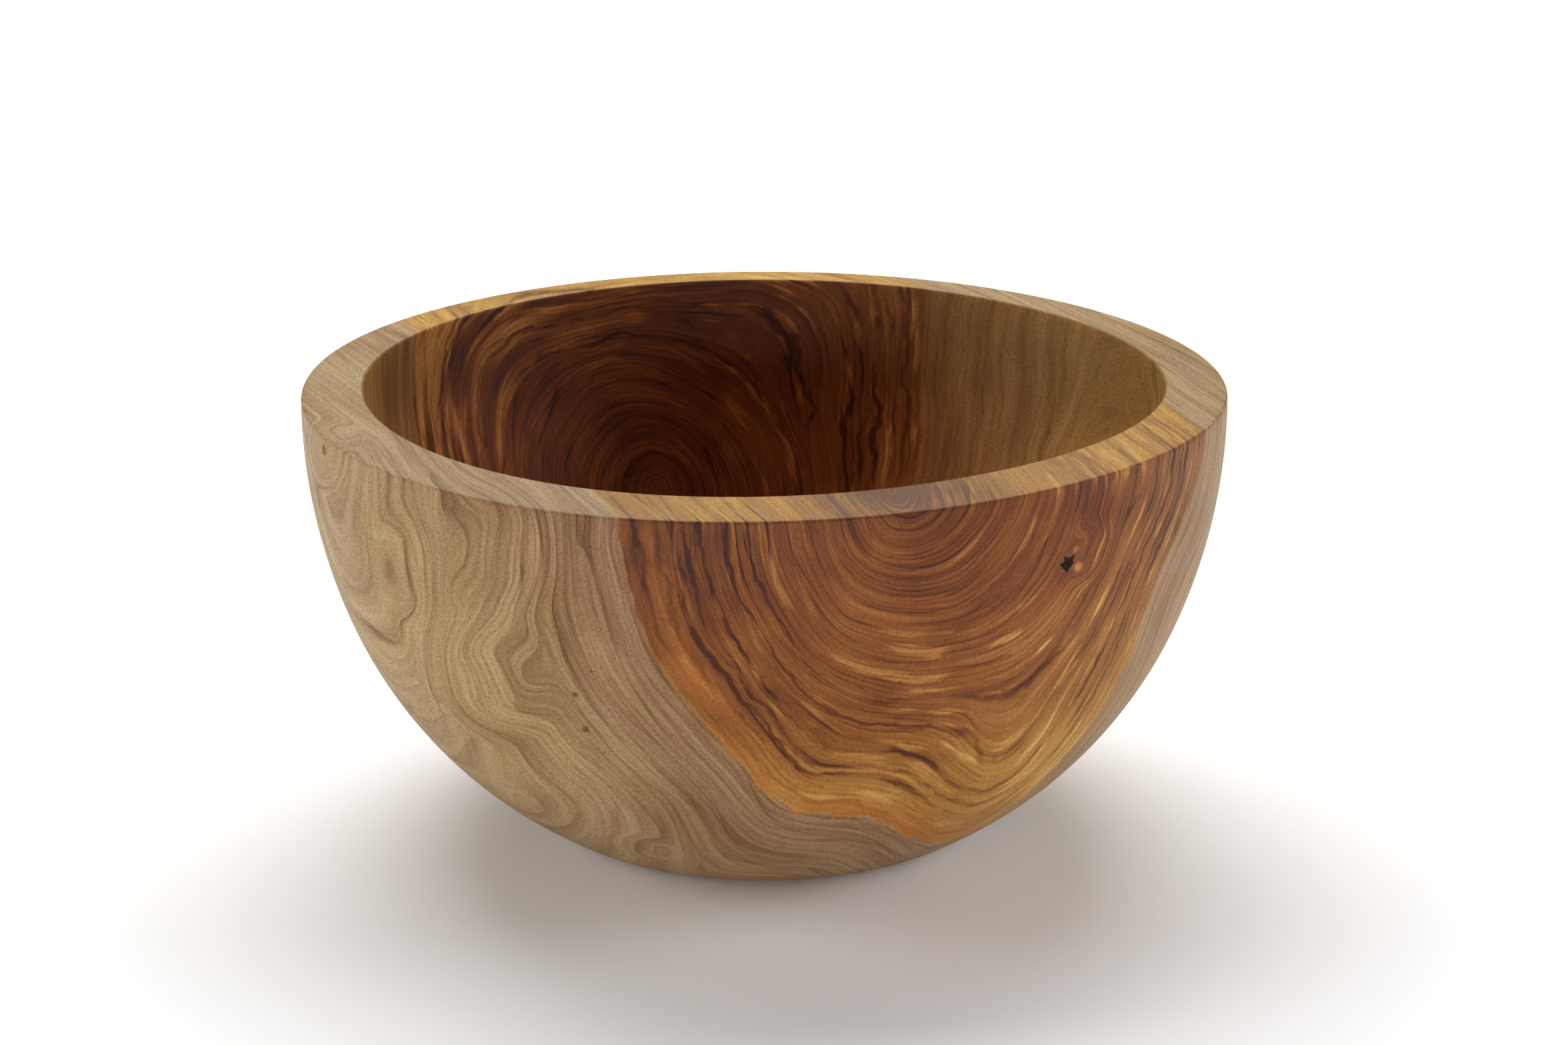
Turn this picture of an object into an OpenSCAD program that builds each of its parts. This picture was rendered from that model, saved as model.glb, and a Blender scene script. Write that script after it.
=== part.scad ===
// Deep round bowl turned from one block of olive wood, with two encased knots in its wall.
// Millimetres, +Z up. The origin is the centre of the flat foot, and the front is -Y.

/* [Bowl] */
// Diameter across the widest part of the wall
bowl_diameter = 300; // [270:5:330]
// Height from the foot to the lip inside the rim
bowl_height = 148; // [137:1:167]
// Diameter of the flat foot
foot_diameter = 130; // [100:2:150]
// Radius between the foot and the belly
foot_edge_radius = 20; // [8:1:26]

/* [Wall] */
// Thickness of the wall
wall_thickness = 20; // [12:1:24]
// Thickness of the floor above the foot
floor_thickness = 20; // [12:1:30]
// Radius between the floor and the inside of the wall
floor_edge_radius = 60; // [30:1:70]
// How far the widest part lies below the lip
widest_drop = 6.4; // [2:0.1:10]
// Radius of the upper wall's curve
side_radius = 180; // [165:1:220]
// Angle that the upper wall's curve turns through, in degrees
side_sweep = 22; // [14:1:28]

/* [Rim] */
// How far the rim's outer edge lies below the lip
rim_fall = 1.9; // [0:0.1:5]
// Radius on the rim's outer edge
outer_edge_radius = 1.2; // [0.4:0.1:3]
// Radius on the lip
lip_radius = 0.8; // [0.4:0.1:3]

/* [Knots] */
// Diameter of the dark front knot where it meets the wall
front_knot_diameter = 4.2; // [2:0.1:8]
// Angle of the front knot to the right of the front, in degrees
front_knot_angle = 37.7; // [0:0.1:80]
// How far the front knot lies below the lip
front_knot_drop = 26.5; // [10:0.5:50]
// Diameter of the brown side knot where it meets the wall
side_knot_diameter = 3.6; // [2:0.1:6]
// Angle of the side knot to the right of the front, in degrees
side_knot_angle = -65.8; // [-90:0.1:-10]
// How far the side knot lies below the lip
side_knot_drop = 6; // [6:0.5:50]
// Depth that a knot reaches into the wall
knot_depth = 10; // [4:0.5:11]
// Width of a knot's inner end, as a share of its width at the wall
knot_taper = 0.45; // [0.2:0.05:1]

/* [Hidden] */
$fn = 180;

// Height that cutting shapes run past the rim, and depth that a knot's cutter runs past the wall
overrun = 8;
knot_overrun = 1;

// Unit vector in the section plane at an angle below the outward horizontal
function down(angle) = [cos(angle), -sin(angle)];
function unit(v) = v / norm(v);

// The wall is three arcs that run into one another: side, belly and foot edge
side_centre = [bowl_diameter / 2 - side_radius, bowl_height - widest_drop];
side_end = side_centre + side_radius * down(side_sweep);
foot_edge_centre = [foot_diameter / 2, foot_edge_radius];
belly_span = side_end - foot_edge_centre;
belly_radius = (belly_span * belly_span - foot_edge_radius ^ 2)
             / (2 * (belly_span * down(side_sweep) - foot_edge_radius));
belly_centre = side_end - belly_radius * down(side_sweep);

// The hollow follows the same side and belly, one wall further in, and ends in its own floor edge
floor_edge_height = floor_thickness + floor_edge_radius;
floor_edge_reach = belly_radius - wall_thickness - floor_edge_radius;
floor_edge_rise = belly_centre.y - floor_edge_height;
floor_edge_centre = [belly_centre.x + sqrt(floor_edge_reach ^ 2 - floor_edge_rise ^ 2), floor_edge_height];

// The rim falls outwards from the lip in a straight line
lip_reach = sqrt((side_radius - wall_thickness) ^ 2 - widest_drop ^ 2);
lip = [side_centre.x + lip_reach, bowl_height];
rim_angle = atan2(rim_fall, bowl_diameter / 2 - lip.x);
rim_out = down(rim_angle);
rim_up = [sin(rim_angle), cos(rim_angle)];

// Centre of an edge arc under the rim line, at a given distance from the centre of the side's curve
function rim_edge_centre(radius, reach) =
    let (start = lip - radius * rim_up - side_centre)
    let (along = start * rim_out)
    let (slide = sqrt(along ^ 2 - start * start + reach ^ 2) - along)
    side_centre + start + slide * rim_out;

outer_edge_centre = rim_edge_centre(outer_edge_radius, side_radius - outer_edge_radius);
lip_centre = rim_edge_centre(lip_radius, side_radius - wall_thickness + lip_radius);

// Slice of a disc between two angles below the horizontal
module disc_slice(centre, radius, from, to) {
    far = 2 * radius;
    intersection() {
        translate(centre) circle(radius);
        polygon([
            centre,
            centre + far * down(from),
            centre + far * down((from + to) / 2),
            centre + far * down(to)
        ]);
    }
}

// Half section inside the wall's three arcs, moved in by inset and standing on base
module round_section(inset, edge_centre, edge_radius, base) {
    side = side_radius - inset;
    belly = belly_radius - inset;
    top = bowl_height + overrun;
    top_angle = -asin((top - side_centre.y) / side);
    edge_run = edge_centre - belly_centre;
    edge_angle = atan2(-edge_run.y, edge_run.x);
    intersection() {
        union() {
            disc_slice(side_centre, side, top_angle, side_sweep);
            disc_slice(belly_centre, belly, side_sweep, edge_angle);
            translate(edge_centre) circle(edge_radius);
            polygon([
                [0, base],
                [edge_centre.x, base],
                edge_centre + edge_radius * down(edge_angle),
                side_centre + side * down(side_sweep),
                side_centre + side * down(top_angle),
                [0, top]
            ]);
        }
        square([bowl_diameter, top]);
    }
}

module outer_section() {
    round_section(0, foot_edge_centre, foot_edge_radius, 0);
}

module hollow_section() {
    round_section(wall_thickness, floor_edge_centre, floor_edge_radius, floor_thickness);
}

// Everything above the rim's sloping line
module above_rim() {
    inner = lip - 2 * wall_thickness * rim_out;
    outer = lip + 2 * wall_thickness * rim_out;
    polygon([inner, outer, outer + 2 * overrun * rim_up, inner + 2 * overrun * rim_up]);
}

// The sharp corner that an edge arc takes off between two surface directions
module corner_waste(centre, radius, first, second) {
    reach = 2 * radius;
    difference() {
        polygon([centre, centre + reach * first, centre + reach * (first + second), centre + reach * second]);
        translate(centre) circle(radius);
    }
}

module bowl_section() {
    difference() {
        outer_section();
        hollow_section();
        above_rim();
        corner_waste(outer_edge_centre, outer_edge_radius, rim_up, unit(outer_edge_centre - side_centre));
        corner_waste(lip_centre, lip_radius, rim_up, unit(side_centre - lip_centre));
    }
}

// Tapered branch stub that stands square to the upper wall
module knot_stub(diameter, angle, drop) {
    tilt = asin((side_centre.y - bowl_height + drop) / side_radius);
    growth = (1 - knot_taper) / knot_depth;
    rotate([0, 0, angle - 90])
        translate([side_centre.x, 0, side_centre.y])
            rotate([0, 90 + tilt, 0])
                translate([0, 0, side_radius - knot_depth])
                    cylinder(
                        h = knot_depth + knot_overrun,
                        d1 = diameter * knot_taper,
                        d2 = diameter * (1 + growth * knot_overrun)
                    );
}

module front_stub() {
    knot_stub(front_knot_diameter, front_knot_angle, front_knot_drop);
}

module side_stub() {
    knot_stub(side_knot_diameter, side_knot_angle, side_knot_drop);
}

// A stub cut off flush with the outside of the wall
module flush_with_wall() {
    intersection() {
        children();
        rotate_extrude() outer_section();
    }
}

module bowl() {
    color([0.66, 0.43, 0.22])
        difference() {
            rotate_extrude() bowl_section();
            front_stub();
            side_stub();
        }
}

module front_knot() {
    color([0.12, 0.09, 0.07]) flush_with_wall() front_stub();
}

module side_knot() {
    color([0.48, 0.33, 0.22]) flush_with_wall() side_stub();
}

bowl();
front_knot();
side_knot();
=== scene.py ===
import math
from collections import namedtuple

import bmesh
import bpy
from mathutils import Color, Euler, Matrix, Vector


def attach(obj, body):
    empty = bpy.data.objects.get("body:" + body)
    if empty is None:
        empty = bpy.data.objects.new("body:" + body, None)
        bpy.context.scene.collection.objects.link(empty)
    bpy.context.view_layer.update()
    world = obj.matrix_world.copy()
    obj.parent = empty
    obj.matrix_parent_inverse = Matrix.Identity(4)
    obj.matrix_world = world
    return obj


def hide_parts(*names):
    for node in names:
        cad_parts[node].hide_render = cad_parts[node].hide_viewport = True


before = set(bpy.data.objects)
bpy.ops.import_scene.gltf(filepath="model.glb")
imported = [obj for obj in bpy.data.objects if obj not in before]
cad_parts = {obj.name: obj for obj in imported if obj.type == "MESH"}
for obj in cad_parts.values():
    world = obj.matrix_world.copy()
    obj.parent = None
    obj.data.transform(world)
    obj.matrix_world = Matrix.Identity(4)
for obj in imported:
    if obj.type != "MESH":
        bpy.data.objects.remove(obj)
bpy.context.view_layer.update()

# Sizes of the turned bowl, in metres and radians
MM = 0.001
BOWL_RADIUS = 150 * MM
BOWL_HEIGHT = 148 * MM
FOOT_RADIUS = 65 * MM
FOOT_EDGE_RADIUS = 20 * MM
WALL = 20 * MM
FLOOR = 20 * MM
FLOOR_EDGE_RADIUS = 60 * MM
WIDEST_DROP = 6.4 * MM
SIDE_RADIUS = 180 * MM
SIDE_SWEEP = math.radians(22)
RIM_FALL = 1.9 * MM
OUTER_EDGE_RADIUS = 1.2 * MM
LIP_RADIUS = 0.8 * MM

# Steps along each stretch of the half section, and round the bowl
FOOT_STEPS = 8
FOOT_EDGE_STEPS = 10
BELLY_STEPS = 34
SIDE_STEPS = 28
RIM_EDGE_STEPS = 5
RIM_STEPS = 7
INNER_BELLY_STEPS = 26
FLOOR_EDGE_STEPS = 22
FLOOR_STEPS = 6
TURNING_STEPS = 288

# Points closer than this are one, faces that meet more sharply than this show a crisp edge, and a face
# that looks up by more than this share in the lower half of the bowl is its floor
SAME_POINT = 0.001 * MM
CRISP_ANGLE = math.radians(40)
FLOOR_FACING = 0.5

# A quarter turn, and the upright direction
QUARTER_TURN = math.pi / 2
UPRIGHT = Vector((0, 0, 1))

# The rim has moved a little as the wood dried: number of waves round it, and their cosine and sine
# heights from the front. Nothing has moved below a certain height.
DRYING_WAVES = ((2, -0.15 * MM, 0.78 * MM), (3, -0.29 * MM, 0.37 * MM))
STILL_BELOW = 50 * MM

# Knots are tapered branch stubs with a ragged outline: waves by number, height and start
KNOT_DEPTH = 10 * MM
KNOT_TAPER = 0.45
KNOT_SIDES = 72
RAGGEDNESS = 0.06
RAGGED_WAVES = ((2, 1, 0.6), (4, 1, 2.1), (7, 0.5, 0))
CRACK_SHARPNESS = 40

# A knot's end is bevelled by a share of its width, rises a little and dips in the middle
KNOT_BEVEL = 0.12
KNOT_RISE = 0.1 * MM
KNOT_DIP = 0.25 * MM

# A pocket runs out past the wall and is a little wider than its knot. Within so many knot widths of
# its middle the grain is read from the plain wall.
POCKET_OVERRUN = 1 * MM
POCKET_ROOM = 0.12 * MM
NEAR_KNOT = 1.4

# Each knot: width at the wall, angle right of the front, drop below the lip, how far it is sunk, and
# cracks that run out from its edge by angle and length
Knot = namedtuple("Knot", "width angle drop sunk cracks")
FRONT_CRACKS = (
    (math.radians(118), 1.4 * MM),
    (math.radians(44), 1.7 * MM),
    (math.radians(174), 0.9 * MM),
    (math.radians(275), 0.8 * MM),
)
FRONT_KNOT = Knot(4.2 * MM, math.radians(37.7), 26.5 * MM, 0.2 * MM, FRONT_CRACKS)
SIDE_KNOT = Knot(3.6 * MM, math.radians(-65.8), 6 * MM, 0.05 * MM, ())

# Camera, from the photograph's viewing angle
PHOTO_WIDTH = 2352
FOCAL_PIXELS = 6000
SENSOR_WIDTH = 36
CAMERA_PLACE = (6.2 * MM, -1255.2 * MM, 494.3 * MM)
CAMERA_FALL = math.radians(17.51)
CAMERA_ROLL = math.radians(-0.19)

# Studio: floor, surround, and soft lights by place, aim, width, height and watts
FLOOR_REACH = 6
FLOOR_COLOUR = (0.94, 0.94, 0.94, 1)
FLOOR_ROUGHNESS = 0.9
SURROUND_COLOUR = (1, 1, 1, 1)
SURROUND_STRENGTH = 0.1
LIGHTS = {
    "overhead_light": ((-0.1, 0.9, 1.4), (0, 0.3, 0), 1.8, 1.4, 39),
    "left_light": ((-1.7, 0.1, 0.6), (0, 0, 0.1), 0.9, 0.8, 13),
    "right_light": ((1.7, 0.1, 0.6), (0, 0, 0.1), 0.9, 0.8, 18),
    "front_light": ((-0.2, -2.0, 0.2), (0, 0, 0.1), 2.6, 0.4, 30),
}

# The trunk that the bowl was turned from: where its pith leaves the front wall, and how it lies
PITH_AT_FRONT = (41.6 * MM, -144 * MM, 154 * MM)
TRUNK_TURN = (math.radians(-16), 0, math.radians(17.3))

# The wood is measured in millimetres along the trunk's own axes: across it, along it and up from its
# pith. A change is written as the two places it runs between and the value at each, where these are
# not 0 and 1. Lightness runs from 0, dark, to 1, light. Colours are as a screen shows them, 0 to 255,
# and tints are shares of red, green and blue.

# The grain drifts slowly and finely: lengths, reach and detail. The fine drift reaches further in
# the heart than outside it, by distance from its middle.
SLOW_DRIFT = ((80, 200, 80), 14, 1)
FINE_DRIFT_LENGTHS = (20, 80, 20)
FINE_DRIFT_REACH = (90, 120, 2.4, 0.8)
FINE_DRIFT_DETAIL = 2

# The darker heart: radius and offset from the pith, how they change along the trunk, and lobes by
# angle, height and sharpness
HEART_RADIUS = 100.6
HEART_NARROWING = -0.035
HEART_SHIFT = 25
HEART_LEAN = -0.124
HEART_LOBES = (
    (math.radians(-75), 21, 20),
    (math.radians(-24), -14, 20),
    (math.radians(-135), -3, 12),
    (math.radians(40), 9, 10),
    (math.radians(-113), 6, 60),
)

# Its edge is ragged, more so low down, and nearly sharp
RAGGED_EDGE = ((9, 30, 9), 3, 0.6)
RAGGED_REACH = (-100, -55, 9, 3.5)
EDGE_WIDTH = (-0.4, 0.4)

# Shares of the heart's radius over which rings take on its lobes, and leave the pith for its middle
LOBED_RINGS = (0.4, 1.05)
OUTER_RINGS = (0.35, 0.9)

# Waves of the rings in the sapwood, and their height by depth inside the heart's edge
SAP_WAVE = ((44, 90, 52), 1, 0.3)
SAP_WAVE_HEIGHT = (-40, -10, 14, 0)

# Where rings swell round a branch or a burr: place, reach and height, full within a share of the reach
RING_SWELLS = (
    ((65, 22, -25), (13, 13, 13), -4.5),
    ((-146, 131, 25), (16, 24, 16), -9),
    ((-130, 90, -14), (13, 28, 24), 4),
    ((-107, 60, -8), (22, 44, 24), 5),
    ((-112, 83, -50), (24, 44, 26), -9),
    ((-60, 108, -107), (12, 16, 12), -4),
)
SWELL_CORE = 0.35

# Every noise runs from 0 to 1 about this value
NOISE_MIDDLE = 0.5

# Noises that run along the rings: width across them, detail, start and tightness. Along the trunk and
# round it they run over these lengths.
RUN_ALONG = 170
RUN_ROUND = 60
RING_ROUGHNESS = 0.6
RING_NOISES = {
    "wander": (10, 1, 0, 1),
    "tint": (17, 1, 7.3, 1),
    "broad": (8, 1.5, 29.3, 1),
    "bands": (5, 2, 3.1, 1),
    "fading": (4, 1, 11.7, 2.2),
    "hairs": (1.1, 3, 5.9, 1),
    "gleam": (2.8, 2, 23.3, 2.4),
    "streaks": (2.2, 3, 43.7, 1.3),
    "veins": (1.9, 3, 17.1, 1.2),
    "hue": (11, 1, 37.9, 1),
}

# Noises through the solid: length along each axis, detail and roughness
SOLID_NOISES = {
    "vein_wander": ((16, 70, 16), 2, 0.5),
    "vein_kinks": ((4, 30, 4), 1, 0.5),
    "speckle": ((0.6, 2.4, 0.6), 2, 0.7),
    "pores": ((0.35, 6, 0.35), 1, 0.5),
    "cloud": ((26, 90, 26), 2, 0.5),
}
FLAME = ((9, 30, 9), 2, 0.5)

# Growth lines: spacing, the noise they wander with, how many spacings they wander, and sharpness.
# Some fade in and out with a noise.
GROWTH_LINES = {
    "late_wood": (3.4, "wander", 3.2, 7),
    "wide_late_wood": (5, "wander", 3, 7),
    "close_late_wood": (1.5, "fading", 2.6, 3),
    "ring_shade": (5, "wander", 3, 1.6),
}
LINE_FADES = {
    "late_wood": ("fading", 0.4, 0.6),
    "wide_late_wood": ("fading", 0.34, 0.56),
    "close_late_wood": ("bands", 0.3, 0.62),
}
GLEAM_RANGE = (0.54, 0.68)

# Dark veins: loose ones along the rings, and ones that follow the heart's edge by depth inside it and
# strength, with their width, how far they wander and kink, and how they fade
LOOSE_VEINS = (0.62, 0.74)
HEART_VEINS = ((3.5, 0.6), (8, 0.5), (12, 1.0), (15, 0.7), (20, 0.9), (29, 0.7), (37, 0.6))
VEIN_WIDTH = (0.25, 1.1)
VEIN_WANDER = 9
VEIN_KINKS = 1.6
VEIN_FADE = (0.34, 0.56)

# How squarely a face is cut across the trunk to show end grain, and how strongly lines show there, on
# side grain and near the pith
END_GRAIN = (0.2, 0.9)
END_GRAIN_LINES = 1.0
SIDE_GRAIN_LINES = 0.6
PITH_LINES = (10, 45, 0.1, 0)

# Lightness of the heart: by height, lighter low down partly as painted light against the shade under
# the bowl, to the right, in two patches on the front, the lower right one partly painted light as well,
# round the pith and at the back
HEART_LOW = (-105, -50, 0.66, 0.44)
HEART_HIGH = (-50, -10, 0, -0.1)
HEART_RIGHT = (-20, 60, 0, 0.03)
LOW_RIGHT_ACROSS = (10, 70, 0, 0.11)
LOW_RIGHT_UP = (-60, -30, 1, 0)
UPPER_LEFT_ACROSS = (-60, -20, -0.08, 0)
UPPER_LEFT_UP = (-60, -30)
PITH_REACH = (4, 46)
PITH_SHADE_SIDE = -0.28
PITH_SHADE_END = -0.08
BACK_REACH = (130, 230)
BACK_LIGHT = 0.1

# Gold streaks inside the hollow, on its left and its right
LEFT_GOLD_ACROSS = (-62, -8, 1, 0)
LEFT_GOLD_BANDS = (0.42, 0.58, 0, 0.5)
LEFT_GOLD_DEPTH = (8, 64, 1, 0)
RIGHT_GOLD_ACROSS = (40, 60, 0, 0.2)
RIGHT_GOLD_DEPTH = (5, 45, 1, 0)

# How much each noise and line lightens or darkens the heart
HEART_FIGURE = {"bands": 0.6, "tint": 0.35, "cloud": 0.35, "hairs": 0.55, "flame": 0.2}
HEART_LINES = {"late_wood": -0.34, "close_late_wood": -0.2, "veins": -0.42}
GLEAM_ACROSS = (-30, 70, 0.22, 0.44)
GLEAM_RING = (20, 60, 0.6, 1)

# Colours of the heart from dark to light. Its low front takes on the end grain's darker colours as
# painted shade, its back is paler.
HEART_END = ((62, 33, 25), (102, 56, 29), (132, 80, 40), (163, 113, 60), (196, 149, 88))
HEART_SIDE = ((102, 64, 29), (152, 109, 47), (178, 136, 58), (190, 153, 72), (202, 170, 92))
LOW_HEART_SHADE = (-95, -60, 0.7, 0)
PALER_BACK = (90, 190)
PALER_TINT = (1.0, 1.06, 1.3, 1.0)

# Amber along the heart's edge, strongest low down and on the left, and weaker in the hollow. At the very
# bottom it also covers side grain, as painted shade.
AMBER = (164, 98, 42)
AMBER_DEPTH = (1, 14, 0.7, 0)
AMBER_BANDS = (0.3, 0.6)
AMBER_ACROSS = (10, 60, 1, 0)
AMBER_UP = (-60, -25)
AMBER_ABOVE = 0.3
AMBER_IN_HOLLOW = 0.3
AMBER_LOW_SHADE = (-105, -75, 1, 0)

# Lightness of the sapwood by depth, and how much each noise and line changes it
SAP_LIGHT = (-55, -10, 0.52, 0.6)
SAP_FIGURE = {"broad": 0.4, "bands": 0.7, "tint": 0.4, "cloud": 0.3, "hairs": 1.1}
SAP_LINES = {"ring_shade": -0.15, "wide_late_wood": -0.28, "late_wood": -0.22, "close_late_wood": -0.34}
HOLLOW_SAP_LINES = 0.6

# Colours of the sapwood from dark to light, its drift from pink to yellow by depth and in streaks, and
# its browner, darker tint low down, which is painted shade
SAP_END = ((94, 62, 39), (135, 103, 74), (168, 137, 103))
SAP_SIDE = ((115, 82, 47), (154, 130, 91), (184, 165, 124))
HUE_BY_DEPTH = -0.005
HUE_STREAKS = 0.9
HUE_RANGE = (0.34, 0.86)
PINK_TINT = (1.01, 0.97, 1.01, 1.0)
YELLOW_TINT = (1.04, 1.03, 0.96, 1.0)
LOW_SAP_SHADE = (-116, -72, 1, 0)
LOW_SAP_SHADE_TINT = (0.85, 0.77, 0.8, 1.0)

# Dark speckle and open pores
SPECKLE_RANGE = (0.42, 0.7, 0, 0.4)
SPECKLE_COLOUR = (150, 112, 84)
PORE_RANGE = (0.58, 0.75, 0, 0.35)
PORE_COLOUR = (140, 100, 70)

# Marks have frayed outlines and are full within a share of their width
FRAYED = ((1.2, 1.2, 1.2), 2.4, 2)
MARK_CORE = 0.3

# Stains beside the front knot: place, width, strength and colour
KNOT_STAINS = (
    ((54, 18, -28), 6.5, 0.6, (104, 60, 36)),
    ((59, 21, -29), 2.4, 0.55, (192, 134, 80)),
    ((57.5, 18.5, -23.5), 1.6, 0.4, (188, 130, 76)),
)

# Pin knots: place and width
PIN_COLOUR = (58, 36, 24)
PIN_STRENGTH = 0.75
PIN_KNOTS = (
    ((-85, 67, -65), 2.0),
    ((-89, 61, -54), 1.6),
    ((-85, 52, -47), 1.0),
    ((-109, 89, -54), 1.2),
    ((-91, 47, -31), 0.8),
    ((-60, 108, -107), 1.8),
    ((-50, 110, -112), 1.6),
    ((-39, 119, -118), 2.2),
    ((1, 24, -58), 0.8),
    ((-45, 16, -24), 1.0),
)

# Painted shade in the hollow, which warms and darkens it: its tint on the sapwood, darker at the far
# left, and on the heart, and its strength by height in metres, lightest part way down and darker towards
# the rim and towards the floor
FAR_SAP_HOLLOW_SHADE = (1.0, 0.76, 0.46, 1.0)
SAP_HOLLOW_SHADE = (1.22, 1.0, 0.64, 1.0)
SAP_HOLLOW_SHADE_ACROSS = (-90, -50)
HEART_HOLLOW_SHADE = (1.0, 0.86, 0.76, 1.0)
SHADE_TO_RIM = (88 * MM, 142 * MM, 1.22, 0.66)
SHADE_TO_FLOOR = (30 * MM, 70 * MM, 0.85, 1)

# Satin surface of the wood: roughness by its bands, sheen and a fine relief
SATIN_ROUGHNESS = (0.3, 0.7, 0.5, 0.6)
SATIN_SHEEN = 0.13
SPECKLE_RELIEF = 0.6
HAIR_RELIEF = 0.4
RELIEF_DEPTH = 0.1 * MM
RELIEF_STRENGTH = 0.5

# Dead wood of the knots: colours, and fine cracks by detail, roughness and number in a metre
DARK_KNOT = ((14, 9, 7), (44, 27, 18))
BROWN_KNOT = ((96, 66, 44), (140, 104, 74))
KNOT_CRACKS = (3, 0.65, 900)
KNOT_COLOUR_RANGE = (0.35, 0.68)
KNOT_ROUGHNESS = (0.3, 0.7, 0.7, 0.9)
KNOT_SHEEN = 0.1
KNOT_RELIEF = 0.2 * MM


def down(angle):
    """Unit vector in the section plane at an angle below the outward horizontal."""
    return Vector((math.cos(angle), -math.sin(angle)))


def bearing(vector):
    """Angle of a section-plane vector below the outward horizontal."""
    return math.atan2(-vector.y, vector.x)


def arc(centre, radius, start, end, steps):
    """Points of an arc in the section plane, from one angle below the horizontal to another."""
    angles = [start + (end - start) * i / steps for i in range(steps + 1)]
    return [centre + radius * down(a) for a in angles]


def line(start, end, steps):
    """Points of a straight stretch in the section plane."""
    return [start.lerp(end, i / steps) for i in range(steps + 1)]


# The wall is three arcs that run into one another: side, belly and foot edge
side_centre = Vector((BOWL_RADIUS - SIDE_RADIUS, BOWL_HEIGHT - WIDEST_DROP))
side_end = side_centre + SIDE_RADIUS * down(SIDE_SWEEP)
foot_edge_centre = Vector((FOOT_RADIUS, FOOT_EDGE_RADIUS))
belly_span = side_end - foot_edge_centre
belly_radius = (belly_span.length_squared - FOOT_EDGE_RADIUS ** 2) / (
    2 * (belly_span.dot(down(SIDE_SWEEP)) - FOOT_EDGE_RADIUS)
)
belly_centre = side_end - belly_radius * down(SIDE_SWEEP)

# The hollow follows the side and the belly, one wall further in, and ends in its own floor edge
floor_edge_height = FLOOR + FLOOR_EDGE_RADIUS
floor_edge_reach = belly_radius - WALL - FLOOR_EDGE_RADIUS
floor_edge_rise = belly_centre.y - floor_edge_height
floor_edge_run = math.sqrt(floor_edge_reach ** 2 - floor_edge_rise ** 2)
floor_edge_centre = Vector((belly_centre.x + floor_edge_run, floor_edge_height))

# The rim falls outwards from the lip in a straight line
lip_reach = math.sqrt((SIDE_RADIUS - WALL) ** 2 - WIDEST_DROP ** 2)
lip = Vector((side_centre.x + lip_reach, BOWL_HEIGHT))
rim_angle = math.atan2(RIM_FALL, BOWL_RADIUS - lip.x)
rim_out = down(rim_angle)
rim_up = Vector((math.sin(rim_angle), math.cos(rim_angle)))


def rim_edge_centre(radius, reach):
    """Centre of an edge arc under the rim line, at a given distance from the side's centre."""
    start = lip - radius * rim_up - side_centre
    along = start.dot(rim_out)
    slide = math.sqrt(along ** 2 - start.length_squared + reach ** 2) - along
    return side_centre + start + slide * rim_out


def outer_profile(outer_turn):
    """Section of the outside, from the middle of the foot up to the rim's outer edge."""
    foot_angle = bearing(foot_edge_centre - belly_centre)
    foot = line(Vector((0, 0)), Vector((FOOT_RADIUS, 0)), FOOT_STEPS)
    foot_edge = arc(foot_edge_centre, FOOT_EDGE_RADIUS, QUARTER_TURN, foot_angle, FOOT_EDGE_STEPS)
    belly = arc(belly_centre, belly_radius, foot_angle, SIDE_SWEEP, BELLY_STEPS)
    side = arc(side_centre, SIDE_RADIUS, SIDE_SWEEP, outer_turn, SIDE_STEPS)
    return foot[:-1] + foot_edge + belly[1:] + side[1:]


def hollow_profile(lip_turn):
    """Section of the hollow, from the lip down to the middle of the floor."""
    floor_angle = bearing(floor_edge_centre - belly_centre)
    side = arc(side_centre, SIDE_RADIUS - WALL, lip_turn, SIDE_SWEEP, SIDE_STEPS)
    belly = arc(belly_centre, belly_radius - WALL, SIDE_SWEEP, floor_angle, INNER_BELLY_STEPS)
    floor_edge = arc(floor_edge_centre, FLOOR_EDGE_RADIUS, floor_angle, QUARTER_TURN, FLOOR_EDGE_STEPS)
    floor = line(Vector((floor_edge_centre.x, FLOOR)), Vector((0, FLOOR)), FLOOR_STEPS)
    return side[1:] + belly[1:] + floor_edge[1:] + floor[1:]


def bowl_profile():
    """Half section of the bowl, from the middle of the foot round the rim to the middle of the floor."""
    outer_edge = rim_edge_centre(OUTER_EDGE_RADIUS, SIDE_RADIUS - OUTER_EDGE_RADIUS)
    lip_edge = rim_edge_centre(LIP_RADIUS, SIDE_RADIUS - WALL + LIP_RADIUS)
    outer_turn = bearing(outer_edge - side_centre)
    lip_turn = bearing(lip_edge - side_centre)
    rim_turn = rim_angle - QUARTER_TURN
    rim_start = arc(outer_edge, OUTER_EDGE_RADIUS, outer_turn, rim_turn, RIM_EDGE_STEPS)
    rim_end = arc(lip_edge, LIP_RADIUS, rim_turn, lip_turn - math.pi, RIM_EDGE_STEPS)
    rim = line(rim_start[-1], rim_end[0], RIM_STEPS)
    return outer_profile(outer_turn) + rim_start[1:] + rim[1:-1] + rim_end + hollow_profile(lip_turn)


def new_piece(name, shape, material=None):
    """Mesh object at the origin from a finished bmesh."""
    mesh = bpy.data.meshes.new(name)
    shape.to_mesh(mesh)
    shape.free()
    piece = bpy.data.objects.new(name, mesh)
    bpy.context.scene.collection.objects.link(piece)
    if material:
        mesh.materials.append(material)
    return piece


def smooth_with_crisp_edges(mesh):
    """Smooth shading, broken where faces meet sharply."""
    mesh.polygons.foreach_set("use_smooth", [True] * len(mesh.polygons))
    mesh.set_sharp_from_angle(angle=CRISP_ANGLE)


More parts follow.
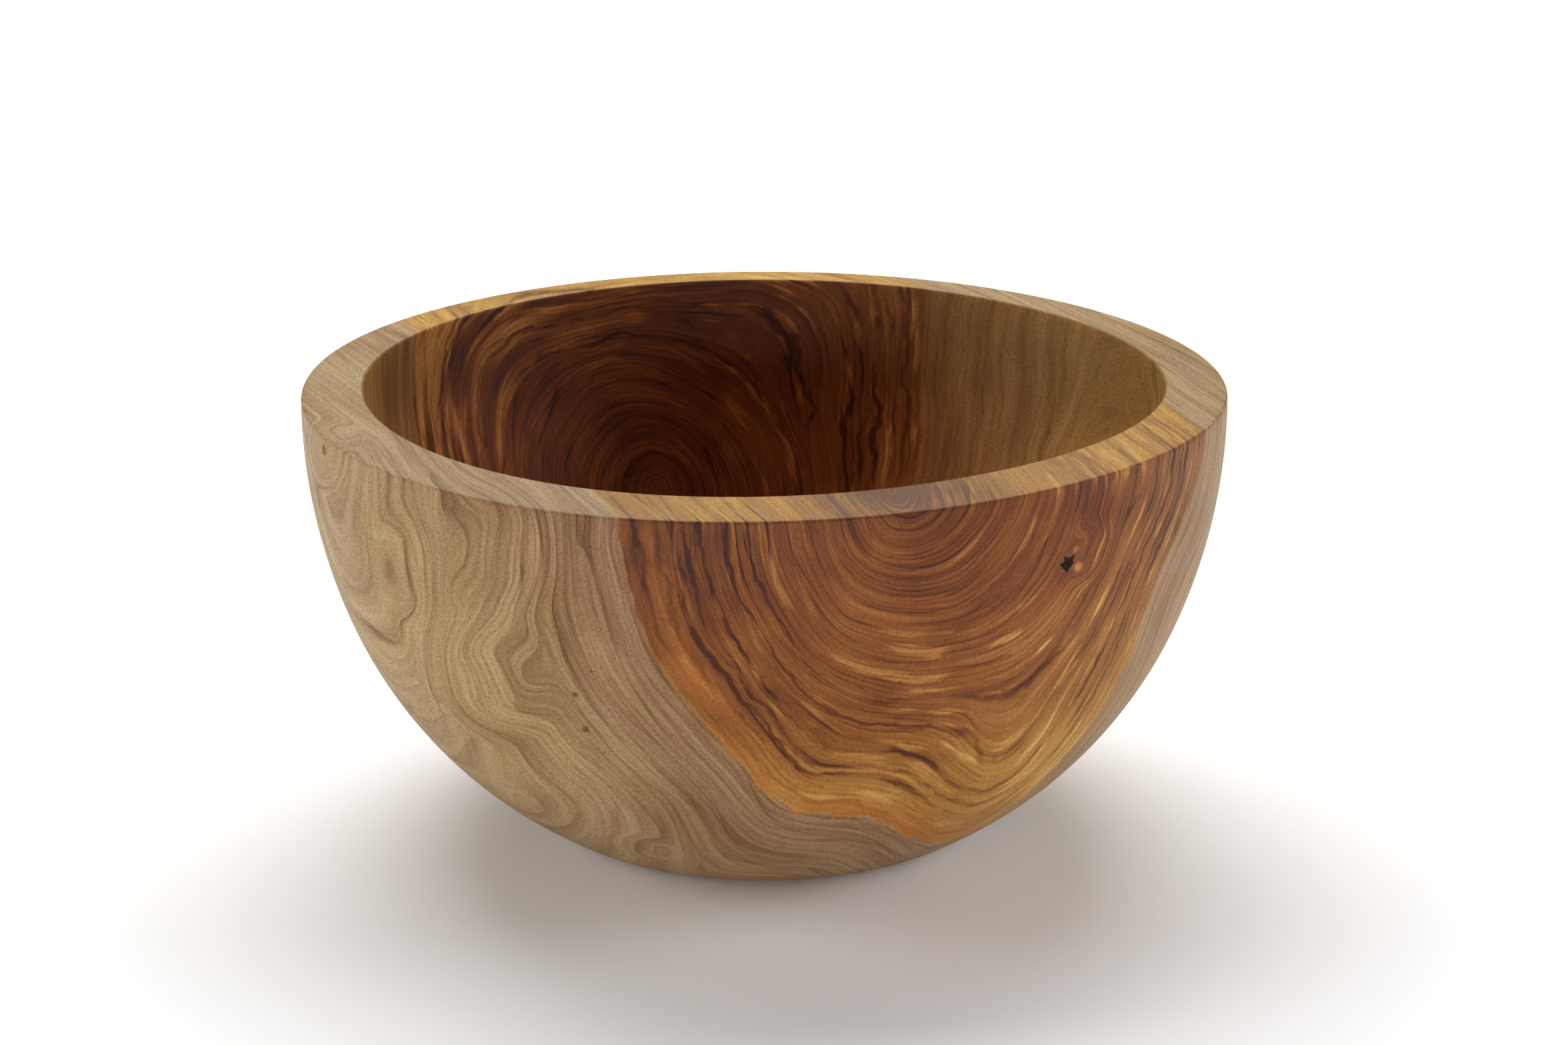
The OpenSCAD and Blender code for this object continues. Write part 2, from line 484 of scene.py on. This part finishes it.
def dried(point):
    """Where a point of the turned bowl has moved to as the wood dried."""
    around = math.atan2(point.x, -point.y)
    rise = sum(c * math.cos(n * around) + s * math.sin(n * around) for n, c, s in DRYING_WAVES)
    share = max(0, (point.z - STILL_BELOW) / (BOWL_HEIGHT - STILL_BELOW))
    return Vector((point.x, point.y, point.z + rise * share ** 2))


def turned_bowl(material):
    """The bowl: its half section turned about the upright axis, then moved as the wood dried."""
    shape = bmesh.new()
    points = [shape.verts.new((p.x, 0, p.y)) for p in bowl_profile()]
    edges = [shape.edges.new(pair) for pair in zip(points, points[1:])]
    bmesh.ops.spin(
        shape,
        geom=points + edges,
        cent=(0, 0, 0),
        axis=UPRIGHT,
        angle=2 * math.pi,
        steps=TURNING_STEPS,
        use_merge=True,
    )
    bmesh.ops.remove_doubles(shape, verts=shape.verts, dist=SAME_POINT)
    for v in shape.verts:
        v.co = dried(v.co)
    bmesh.ops.recalc_face_normals(shape, faces=shape.faces)
    return new_piece("turned_bowl", shape, material)


def knot_place(knot):
    """Matrix that carries a knot's own upright axis to the outward normal of the upper wall."""
    tilt = math.asin((knot.drop - WIDEST_DROP) / SIDE_RADIUS)
    level_out = Vector((math.sin(knot.angle), -math.cos(knot.angle), 0))
    out = math.cos(tilt) * level_out - math.sin(tilt) * UPRIGHT
    centre = side_centre.x * level_out + side_centre.y * UPRIGHT
    turn = out.to_track_quat("Z", "Y").to_matrix().to_4x4()
    return Matrix.Translation(dried(centre + SIDE_RADIUS * out)) @ turn


def ragged_stub(knot, top, room):
    """Tapered branch stub with a ragged outline, its wall end at a given height, widened by some room."""
    stub = bmesh.new()
    bmesh.ops.create_cone(
        stub,
        cap_ends=True,
        segments=KNOT_SIDES,
        radius1=knot.width / 2 * KNOT_TAPER,
        radius2=knot.width / 2,
        depth=KNOT_DEPTH,
    )
    bmesh.ops.translate(stub, verts=stub.verts, vec=(0, 0, top - KNOT_DEPTH / 2))
    for v in stub.verts:
        around = math.atan2(v.co.y, v.co.x)
        waves = sum(height * math.sin(n * around + start) for n, height, start in RAGGED_WAVES)
        swell = 1 + RAGGEDNESS * waves + room / knot.width
        for angle, length in knot.cracks:
            swell += length * 2 / knot.width * max(0, math.cos(around - angle)) ** CRACK_SHARPNESS
        v.co.x *= swell
        v.co.y *= swell
    return stub


def cut_pocket(bowl, knot):
    """Cuts the pocket that a knot sits in."""
    stub = ragged_stub(knot, POCKET_OVERRUN, POCKET_ROOM)
    bmesh.ops.transform(stub, matrix=knot_place(knot), verts=stub.verts)
    cutter = new_piece("pocket_cutter", stub)
    pocket = bowl.modifiers.new("pocket", "BOOLEAN")
    pocket.operation = "DIFFERENCE"
    pocket.solver = "EXACT"
    pocket.object = cutter
    evaluated = bowl.evaluated_get(bpy.context.evaluated_depsgraph_get())
    cut = bpy.data.meshes.new_from_object(evaluated)
    bowl.modifiers.remove(pocket)
    uncut = bowl.data
    bowl.data = cut
    bpy.data.meshes.remove(uncut)
    bpy.data.objects.remove(cutter)


def seated_knot(name, knot, material):
    """A branch stub seated in its pocket, with a bevelled and dished end just under the wall."""
    stub = ragged_stub(knot, -knot.sunk, 0)
    end = max(stub.faces, key=lambda face: face.calc_center_median().z)
    bmesh.ops.inset_region(stub, faces=[end], thickness=knot.width * KNOT_BEVEL, depth=KNOT_RISE)
    middle = bmesh.ops.poke(stub, faces=[end])
    for v in middle["verts"]:
        v.co.z -= KNOT_DIP
    bmesh.ops.transform(stub, matrix=knot_place(knot), verts=stub.verts)
    bmesh.ops.recalc_face_normals(stub, faces=stub.faces)
    return new_piece(name, stub, material)


def mark_points(mesh, name, values):
    """Notes a value at each point of a mesh for its material to read."""
    marks = mesh.attributes.new(name, "FLOAT", "POINT")
    marks.data.foreach_set("value", values)


def mark_end_grain(mesh):
    """Notes at each point how squarely the wall cuts across the trunk, as if the knots were not there."""
    trunk_run = Euler(TRUNK_TURN).to_matrix() @ Vector((0, 1, 0))
    seats = [(knot_place(knot), NEAR_KNOT * knot.width) for knot in (FRONT_KNOT, SIDE_KNOT)]

    def wall_normal(v):
        for seat, reach in seats:
            if (v.co - seat.translation).length < reach:
                return seat.to_3x3().col[2]
        return v.normal

    mark_points(mesh, "end_grain", [abs(wall_normal(v).dot(trunk_run)) for v in mesh.vertices])


def mark_hollow_points(mesh):
    """Notes the points of the hollow, where the colour carries painted shade."""

    def in_hollow(v):
        looks_in = v.normal.xy.dot(v.co.xy) < 0
        on_floor = v.normal.z > FLOOR_FACING and v.co.z < BOWL_HEIGHT / 2
        return float(looks_in or on_floor)

    mark_points(mesh, "hollow_points", [in_hollow(v) for v in mesh.vertices])


def tone(colour):
    """A colour as a screen shows it, 0 to 255, for a shader."""
    linear = Color([part / 255 for part in colour]).from_srgb_to_scene_linear()
    return (*linear, 1.0)


class Finish:
    """A material under construction, with one short method for each kind of node."""

    def __init__(self, name):
        self.material = bpy.data.materials.new(name)
        self.material.use_nodes = True
        self.nodes = self.material.node_tree.nodes
        self.links = self.material.node_tree.links
        self.shader = self.nodes["Principled BSDF"]

    def wire(self, socket, value):
        """Links another node's output to a socket, or sets the socket to a constant."""
        if isinstance(value, bpy.types.NodeSocket):
            self.links.new(value, socket)
        else:
            socket.default_value = value

    def node(self, kind, **settings):
        node = self.nodes.new(kind)
        for key, value in settings.items():
            setattr(node, key, value)
        return node

    def place(self):
        return self.node("ShaderNodeTexCoord").outputs["Object"]

    def attribute(self, name):
        return self.node("ShaderNodeAttribute", attribute_name=name).outputs["Fac"]

    def mapped(self, vector, location, rotation, scale):
        """A vector in axes that are placed, turned and scaled."""
        node = self.node("ShaderNodeMapping", vector_type="TEXTURE")
        self.wire(node.inputs["Vector"], vector)
        self.wire(node.inputs["Location"], location)
        self.wire(node.inputs["Rotation"], rotation)
        self.wire(node.inputs["Scale"], scale)
        return node.outputs[0]

    def sum(self, operation, first, second=0.0, third=0.0):
        node = self.node("ShaderNodeMath", operation=operation)
        for socket, value in zip(node.inputs, (first, second, third)):
            self.wire(socket, value)
        return node.outputs[0]

    def total(self, first, *others):
        for other in others:
            first = self.sum("ADD", first, other)
        return first

    def product(self, first, *others):
        for other in others:
            first = self.sum("MULTIPLY", first, other)
        return first

    def swing(self, noise):
        """A noise moved to lie evenly about 0."""
        return self.sum("SUBTRACT", noise, NOISE_MIDDLE)

    def vector_sum(self, operation, first, second=(0, 0, 0)):
        node = self.node("ShaderNodeVectorMath", operation=operation)
        self.wire(node.inputs[0], first)
        self.wire(node.inputs[1], second)
        return node.outputs["Value" if operation in ("LENGTH", "DISTANCE", "DOT_PRODUCT") else "Vector"]

    def scaled(self, vector, scale):
        node = self.node("ShaderNodeVectorMath", operation="SCALE")
        self.wire(node.inputs[0], vector)
        self.wire(node.inputs["Scale"], scale)
        return node.outputs["Vector"]

    def parts(self, vector):
        node = self.node("ShaderNodeSeparateXYZ")
        self.wire(node.inputs[0], vector)
        return node.outputs

    def joined(self, x, y, z):
        node = self.node("ShaderNodeCombineXYZ")
        for socket, value in zip(node.inputs, (x, y, z)):
            self.wire(socket, value)
        return node.outputs[0]

    def noise(self, vector, detail, roughness=0.5, scale=1.0):
        node = self.node("ShaderNodeTexNoise", noise_dimensions="3D")
        self.wire(node.inputs["Vector"], vector)
        self.wire(node.inputs["Scale"], scale)
        self.wire(node.inputs["Detail"], detail)
        self.wire(node.inputs["Roughness"], roughness)
        return node.outputs

    def grain(self, vector, lengths, detail, roughness):
        """Noise through the solid, with a length for each direction."""
        return self.noise(self.vector_sum("DIVIDE", vector, lengths), detail, roughness)[0]

    def stirred(self, vector, lengths, reach, detail):
        """A vector moved about by noise, with a length for each direction."""
        drift = self.noise(self.vector_sum("DIVIDE", vector, lengths), detail)["Color"]
        drift = self.vector_sum("SUBTRACT", drift, (NOISE_MIDDLE, NOISE_MIDDLE, NOISE_MIDDLE))
        return self.vector_sum("ADD", vector, self.scaled(drift, reach))

    def mix(self, share, first, second):
        node = self.node("ShaderNodeMix", data_type="FLOAT")
        self.wire(node.inputs[0], share)
        self.wire(node.inputs[2], first)
        self.wire(node.inputs[3], second)
        return node.outputs[0]

    def between(self, value, low, high, at_low=0.0, at_high=1.0):
        """A soft change between two places, with the value at each."""
        node = self.node("ShaderNodeMapRange", interpolation_type="SMOOTHSTEP")
        for socket, given in zip(node.inputs, (value, low, high, at_low, at_high)):
            self.wire(socket, given)
        return node.outputs[0]

    def blend(self, share, first, second, mode="MIX"):
        node = self.node("ShaderNodeMix", data_type="RGBA", blend_type=mode)
        self.wire(node.inputs[0], share)
        self.wire(node.inputs[6], first)
        self.wire(node.inputs[7], second)
        return node.outputs[2]

    def tinted(self, colour, tint):
        return self.blend(1.0, colour, tint, "MULTIPLY")

    def ramp(self, value, colours, start=0.0, end=1.0):
        """Colours set evenly from the start to the end of a value's range."""
        node = self.node("ShaderNodeValToRGB")
        stops = node.color_ramp.elements
        while len(stops) < len(colours):
            stops.new(1.0)
        for i, colour in enumerate(colours):
            stops[i].position = start + (end - start) * i / (len(colours) - 1)
            stops[i].color = tone(colour)
        self.wire(node.inputs[0], value)
        return node.outputs[0]

    def bump(self, height, distance, strength=1.0):
        node = self.node("ShaderNodeBump")
        self.wire(node.inputs["Strength"], strength)
        self.wire(node.inputs["Distance"], distance)
        self.wire(node.inputs["Height"], height)
        self.wire(self.shader.inputs["Normal"], node.outputs[0])


class OliveWood(Finish):
    """Oiled olive wood, worked out through the solid, so that every face shows the same trunk."""

    def __init__(self):
        super().__init__("olive_wood")
        self.hollow_points = self.attribute("hollow_points")
        self.end_grain = self.between(self.attribute("end_grain"), *END_GRAIN)
        self.trunk = self.mapped(self.place(), PITH_AT_FRONT, TRUNK_TURN, (MM, MM, MM))
        self.grown = self.drifted()
        self.across, self.along, self.up = self.parts(self.grown)
        self.radius = self.sum("MULTIPLY_ADD", self.along, HEART_NARROWING, HEART_RADIUS)
        self.edge, self.ring = self.heart_and_rings()
        self.in_heart = self.between(self.edge, *EDGE_WIDTH)
        self.figure = self.growth_figure()
        self.lining = self.total(
            self.mix(self.end_grain, SIDE_GRAIN_LINES, END_GRAIN_LINES),
            self.between(self.ring, *PITH_LINES),
        )
        wood = self.blend(self.in_heart, self.sapwood(), self.heartwood())
        wood = self.with_marks(self.with_pores(wood))
        # The hollow's colour gets painted shade, lightest part way down
        self.wire(self.shader.inputs["Base Color"], self.with_hollow_shade(wood))
        self.satin()

    def drifted(self):
        """The trunk's axes, moved about by the drift of the grain."""
        across, _, up = self.parts(self.trunk)
        aside = self.sum("SUBTRACT", across, HEART_SHIFT)
        from_heart = self.vector_sum("LENGTH", self.joined(aside, up, 0.0))
        reach = self.between(from_heart, *FINE_DRIFT_REACH)
        slow = self.stirred(self.trunk, *SLOW_DRIFT)
        return self.stirred(slow, FINE_DRIFT_LENGTHS, reach, FINE_DRIFT_DETAIL)

    def heart_and_rings(self):
        """Depth inside the heart's ragged edge, and the size of the ring that a point lies on."""
        middle = self.sum("MULTIPLY_ADD", self.along, HEART_LEAN, HEART_SHIFT)
        aside = self.sum("SUBTRACT", self.across, middle)
        reach = self.heart_reach(aside)
        lobes = self.heart_lobes(aside)
        ragged = self.product(
            self.swing(self.grain(self.trunk, *RAGGED_EDGE)),
            self.between(self.up, *RAGGED_REACH),
        )
        edge = self.total(self.sum("SUBTRACT", self.radius, reach), lobes, ragged)
        lobed = self.between(self.sum("DIVIDE", reach, self.radius), *LOBED_RINGS)
        heart_ring = self.sum("SUBTRACT", reach, self.product(lobes, lobed))
        pith_ring = self.pith_ring(middle)
        outer = self.between(self.sum("DIVIDE", pith_ring, self.radius), *OUTER_RINGS)
        return edge, self.swollen(self.mix(outer, pith_ring, heart_ring), edge)

    def heart_reach(self, aside):
        """Distance from the heart's middle: round below it, square shouldered above it."""
        aside_2 = self.product(aside, aside)
        up_2 = self.product(self.up, self.up)
        round_reach = self.sum("SQRT", self.total(aside_2, up_2))
        fourth = self.total(self.product(aside_2, aside_2), self.product(up_2, up_2))
        square_reach = self.sum("SQRT", self.sum("SQRT", fourth))
        return self.mix(self.sum("GREATER_THAN", self.up, 0.0), round_reach, square_reach)

    def heart_lobes(self, aside):
        """How far the heart's outline stands out, in the direction of a point."""
        way = self.vector_sum("NORMALIZE", self.joined(aside, self.up, 0.0))
        lobes = 0.0
        for angle, height, sharpness in HEART_LOBES:
            facing = self.vector_sum("DOT_PRODUCT", way, (math.cos(angle), math.sin(angle), 0))
            lobe = self.sum("POWER", self.sum("MAXIMUM", facing, 0.0), sharpness)
            lobes = self.sum("MULTIPLY_ADD", lobe, height, lobes)
        return lobes

    def pith_ring(self, middle):
        """Size of a ring that starts round at the pith and moves to the heart's middle as it grows."""
        shift = self.sum("DIVIDE", middle, self.radius)
        pull = self.product(self.across, shift)
        keep = self.sum("SUBTRACT", 1.0, self.product(shift, shift))
        square = self.total(self.product(self.across, self.across), self.product(self.up, self.up))
        root = self.sum("SQRT", self.sum("MULTIPLY_ADD", square, keep, self.product(pull, pull)))
        return self.sum("DIVIDE", self.sum("SUBTRACT", root, pull), keep)

    def swollen(self, ring, edge):
        """Rings that wave in the sapwood and swell round branches and burrs."""
        wave = self.product(
            self.swing(self.grain(self.trunk, *SAP_WAVE)),
            self.between(edge, *SAP_WAVE_HEIGHT),
        )
        ring = self.total(ring, wave)
        for place, size, height in RING_SWELLS:
            off = self.vector_sum("DIVIDE", self.vector_sum("SUBTRACT", self.trunk, place), size)
            swell = self.between(self.vector_sum("LENGTH", off), SWELL_CORE, 1.0, height, 0.0)
            ring = self.total(ring, swell)
        return ring

    def growth_figure(self):
        """Everything that figures the wood: noises along its rings and through it, lines and veins."""
        drawn = self.sum("DIVIDE", self.along, RUN_ALONG)
        side_run = self.total(self.sum("DIVIDE", self.across, RUN_ROUND), drawn)
        up_run = self.total(self.sum("DIVIDE", self.up, RUN_ROUND), drawn)
        figure = {}
        for name, (width, detail, start, tightness) in RING_NOISES.items():
            run = self.joined(
                self.sum("DIVIDE", self.ring, width),
                self.product(side_run, tightness),
                self.sum("MULTIPLY_ADD", up_run, tightness, start),
            )
            figure[name] = self.noise(run, detail, RING_ROUGHNESS)[0]
        for name, noise in SOLID_NOISES.items():
            figure[name] = self.grain(self.trunk, *noise)
        figure["flame"] = self.grain(self.grown, *FLAME)
        for name, (spacing, wander, reach, sharpness) in GROWTH_LINES.items():
            turns = self.sum("DIVIDE", self.ring, spacing)
            turns = self.sum("MULTIPLY_ADD", figure[wander], reach, turns)
            figure[name] = self.sum("POWER", self.sum("FRACT", turns), sharpness)
        for name, (noise, low, high) in LINE_FADES.items():
            figure[name] = self.product(figure[name], self.between(figure[noise], low, high))
        figure["gleam"] = self.between(figure["gleam"], *GLEAM_RANGE)
        figure["veins"] = self.dark_veins(figure)
        return figure

    def dark_veins(self, figure):
        """Loose dark veins along the rings, and stronger ones that follow the heart's edge."""
        depth = self.sum("SUBTRACT", self.radius, self.ring)
        depth = self.sum("MULTIPLY_ADD", self.swing(figure["vein_wander"]), VEIN_WANDER, depth)
        depth = self.sum("MULTIPLY_ADD", self.swing(figure["vein_kinks"]), VEIN_KINKS, depth)
        fade = self.between(figure["fading"], *VEIN_FADE)
        veins = self.between(figure["veins"], *LOOSE_VEINS)
        for place, strength in HEART_VEINS:
            off = self.sum("ABSOLUTE", self.sum("SUBTRACT", depth, place))
            vein = self.product(self.between(off, *VEIN_WIDTH, strength, 0.0), fade)
            veins = self.sum("MAXIMUM", veins, vein)
        return veins

    def with_noises(self, light, weights):
        """Lightness with noises of the figure added by their weights."""
        for name, weight in weights.items():
            light = self.sum("MULTIPLY_ADD", self.swing(self.figure[name]), weight, light)
        return light

    def with_lines(self, light, weights):
        """Lightness with lines of the figure added by their weights."""
        for name, weight in weights.items():
            light = self.sum("MULTIPLY_ADD", self.figure[name], weight, light)
        return light

    def heart_light(self):
        """Lightness of the heart, lighter low down and at the lower right partly as painted light."""
        # The lower right patch is lightened partly as painted light against the shade under the bowl
        low_right = self.product(
            self.between(self.across, *LOW_RIGHT_ACROSS),
            self.between(self.up, *LOW_RIGHT_UP),
        )
        upper_left = self.product(
            self.between(self.across, *UPPER_LEFT_ACROSS),
            self.between(self.up, *UPPER_LEFT_UP),
            self.end_grain,
        )
        pith_shade = self.mix(self.end_grain, PITH_SHADE_SIDE, PITH_SHADE_END)
        back_light = self.mix(self.end_grain, BACK_LIGHT, 0.0)
        light = self.total(
            # Lighter low down: partly the wood's tone, partly painted light against the shade under the
            # bowl
            self.between(self.up, *HEART_LOW),
            self.between(self.up, *HEART_HIGH),
            self.between(self.across, *HEART_RIGHT),
            low_right,
            upper_left,
            self.between(self.ring, *PITH_REACH, pith_shade, 0.0),
            self.between(self.along, *BACK_REACH, 0.0, back_light),
            self.gold_streaks(),
        )
        gleam = self.product(
            self.figure["gleam"],
            self.between(self.across, *GLEAM_ACROSS),
            self.between(self.ring, *GLEAM_RING),
        )
        lines = self.with_lines(gleam, HEART_LINES)
        return self.sum("MULTIPLY_ADD", lines, self.lining, self.with_noises(light, HEART_FIGURE))

    def gold_streaks(self):
        """Light streaks just inside the heart's edge, in the hollow alone."""
        left = self.product(
            self.between(self.across, *LEFT_GOLD_ACROSS),
            self.between(self.figure["bands"], *LEFT_GOLD_BANDS),
            self.between(self.edge, *LEFT_GOLD_DEPTH),
        )
        right = self.product(
            self.between(self.across, *RIGHT_GOLD_ACROSS),
            self.between(self.edge, *RIGHT_GOLD_DEPTH),
        )
        return self.product(self.total(left, right), self.hollow_points)

    def amber_edge(self):
        """How much amber shows along the heart's edge."""
        below = self.mix(self.hollow_points, 1.0, AMBER_IN_HOLLOW)
        return self.product(
            self.between(self.edge, *AMBER_DEPTH),
            self.between(self.figure["bands"], *AMBER_BANDS),
            self.between(self.across, *AMBER_ACROSS),
            self.between(self.up, *AMBER_UP, below, AMBER_ABOVE),
            # At the very bottom the amber covers side grain too, as painted shade
            self.sum("MAXIMUM", self.end_grain, self.between(self.up, *AMBER_LOW_SHADE)),
        )

    def heartwood(self):
        """Colour of the heart, redder on end grain than on side grain."""
        light = self.heart_light()
        side = self.ramp(light, HEART_SIDE)
        side = self.blend(self.between(self.along, *PALER_BACK), side, self.tinted(side, PALER_TINT))
        # Low down the heart takes the darker end-grain colours as painted shade
        end_share = self.sum("MAXIMUM", self.end_grain, self.between(self.up, *LOW_HEART_SHADE))
        heart = self.blend(end_share, side, self.ramp(light, HEART_END))
        return self.blend(self.amber_edge(), heart, tone(AMBER))

    def sapwood(self):
        """Colour of the sapwood, which drifts from pink to yellow away from the heart."""
        light = self.with_noises(self.between(self.edge, *SAP_LIGHT), SAP_FIGURE)
        lining = self.product(self.lining, self.mix(self.hollow_points, 1.0, HOLLOW_SAP_LINES))
        light = self.sum("MULTIPLY_ADD", self.with_lines(0.0, SAP_LINES), lining, light)
        sap = self.blend(self.end_grain, self.ramp(light, SAP_SIDE), self.ramp(light, SAP_END))
        hue = self.sum("MULTIPLY_ADD", self.edge, HUE_BY_DEPTH, self.figure["hue"])
        hue = self.sum("MULTIPLY_ADD", self.swing(self.figure["streaks"]), HUE_STREAKS, hue)
        hue = self.between(hue, *HUE_RANGE)
        sap = self.blend(hue, self.tinted(sap, PINK_TINT), self.tinted(sap, YELLOW_TINT))
        # Darker, browner tint low down: painted shade
        return self.blend(self.between(self.up, *LOW_SAP_SHADE), sap, self.tinted(sap, LOW_SAP_SHADE_TINT))

    def with_pores(self, wood):
        """Wood with its dark speckle and open pores."""
        speckle = self.between(self.figure["speckle"], *SPECKLE_RANGE)
        wood = self.blend(speckle, wood, tone(SPECKLE_COLOUR), "MULTIPLY")
        pores = self.between(self.figure["pores"], *PORE_RANGE)
        return self.blend(pores, wood, tone(PORE_COLOUR), "MULTIPLY")

    def with_marks(self, wood):
        """Wood with the stains beside its front knot, and its pin knots."""
        frayed = self.stirred(self.trunk, *FRAYED)
        pins = [(place, width, PIN_STRENGTH, PIN_COLOUR) for place, width in PIN_KNOTS]
        for place, width, strength, colour in (*KNOT_STAINS, *pins):
            away = self.vector_sum("DISTANCE", frayed, place)
            mark = self.between(away, MARK_CORE * width, width, strength, 0.0)
            wood = self.blend(mark, wood, tone(colour))
        return wood

    def with_hollow_shade(self, wood):
        """Wood in the hollow with painted shade: warmer and darker, lightest part way down."""
        # Painted shade in the hollow: a tint for sapwood and heart, its strength set by height
        sap_hollow_shade = self.blend(self.between(self.across, *SAP_HOLLOW_SHADE_ACROSS), FAR_SAP_HOLLOW_SHADE, SAP_HOLLOW_SHADE)
        hollow_tint = self.blend(self.in_heart, sap_hollow_shade, HEART_HOLLOW_SHADE)
        height = self.parts(self.place())[2]
        shade_by_height = self.product(self.between(height, *SHADE_TO_RIM), self.between(height, *SHADE_TO_FLOOR))
        return self.blend(self.hollow_points, wood, self.scaled(hollow_tint, shade_by_height), "MULTIPLY")

    def satin(self):
        """Satin gloss with a fine relief."""
        roughness = self.between(self.figure["bands"], *SATIN_ROUGHNESS)
        self.wire(self.shader.inputs["Roughness"], roughness)
        self.wire(self.shader.inputs["Specular IOR Level"], SATIN_SHEEN)
        hairs = self.product(self.figure["hairs"], HAIR_RELIEF)
        relief = self.sum("MULTIPLY_ADD", self.figure["speckle"], SPECKLE_RELIEF, hairs)
        self.bump(relief, RELIEF_DEPTH, RELIEF_STRENGTH)


def knot_wood(name, colours):
    """Dead branch wood: dark, cracked and dull."""
    finish = Finish(name)
    cracks = finish.noise(finish.place(), *KNOT_CRACKS)[0]
    finish.wire(finish.shader.inputs["Base Color"], finish.ramp(cracks, colours, *KNOT_COLOUR_RANGE))
    finish.wire(finish.shader.inputs["Roughness"], finish.between(cracks, *KNOT_ROUGHNESS))
    finish.wire(finish.shader.inputs["Specular IOR Level"], KNOT_SHEEN)
    finish.bump(cracks, KNOT_RELIEF)
    return finish.material


def pale_floor():
    """Pale studio floor."""
    finish = Finish("pale_floor")
    finish.wire(finish.shader.inputs["Base Color"], FLOOR_COLOUR)
    finish.wire(finish.shader.inputs["Roughness"], FLOOR_ROUGHNESS)
    finish.wire(finish.shader.inputs["Specular IOR Level"], 0.0)
    shape = bmesh.new()
    bmesh.ops.create_grid(shape, x_segments=1, y_segments=1, size=FLOOR_REACH)
    piece = new_piece("studio_floor", shape, finish.material)


def soft_light(name, place, aim, width, height, power):
    """Large studio light panel aimed at a point."""
    data = bpy.data.lights.new(name, "AREA")
    data.shape = "RECTANGLE"
    data.size = width
    data.size_y = height
    data.energy = power
    light = bpy.data.objects.new(name, data)
    light.location = place
    light.rotation_euler = (Vector(aim) - Vector(place)).to_track_quat("-Z", "Y").to_euler()
    bpy.context.scene.collection.objects.link(light)


def photo_camera():
    """Camera at the photograph's viewing angle."""
    data = bpy.data.cameras.new("photo_camera")
    data.sensor_width = SENSOR_WIDTH
    data.lens = FOCAL_PIXELS / PHOTO_WIDTH * SENSOR_WIDTH
    camera = bpy.data.objects.new("photo_camera", data)
    camera.location = CAMERA_PLACE
    camera.rotation_mode = "ZYX"
    camera.rotation_euler = (QUARTER_TURN - CAMERA_FALL, 0, CAMERA_ROLL)
    bpy.context.scene.collection.objects.link(camera)
    bpy.context.scene.camera = camera


def studio():
    """Pale floor, soft light from above, both sides and in front, and a dim surround."""
    pale_floor()
    for name, settings in LIGHTS.items():
        soft_light(name, *settings)
    world = bpy.data.worlds.new("studio_surround")
    world.use_nodes = True
    background = world.node_tree.nodes["Background"]
    background.inputs["Color"].default_value = SURROUND_COLOUR
    background.inputs["Strength"].default_value = SURROUND_STRENGTH
    bpy.context.scene.world = world
    bpy.context.scene.view_settings.view_transform = "Standard"


bowl = turned_bowl(OliveWood().material)
cut_pocket(bowl, FRONT_KNOT)
cut_pocket(bowl, SIDE_KNOT)
smooth_with_crisp_edges(bowl.data)
mark_end_grain(bowl.data)
mark_hollow_points(bowl.data)
front_knot = seated_knot("front_branch_knot", FRONT_KNOT, knot_wood("dark_knot", DARK_KNOT))
side_knot = seated_knot("side_branch_knot", SIDE_KNOT, knot_wood("brown_knot", BROWN_KNOT))
for piece, node, slot in (
    (bowl, "bowl", "olive_wood"),
    (front_knot, "front_knot", "dark_knot"),
    (side_knot, "side_knot", "brown_knot"),
):
    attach(piece, "root")
    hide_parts(node)

photo_camera()
studio()
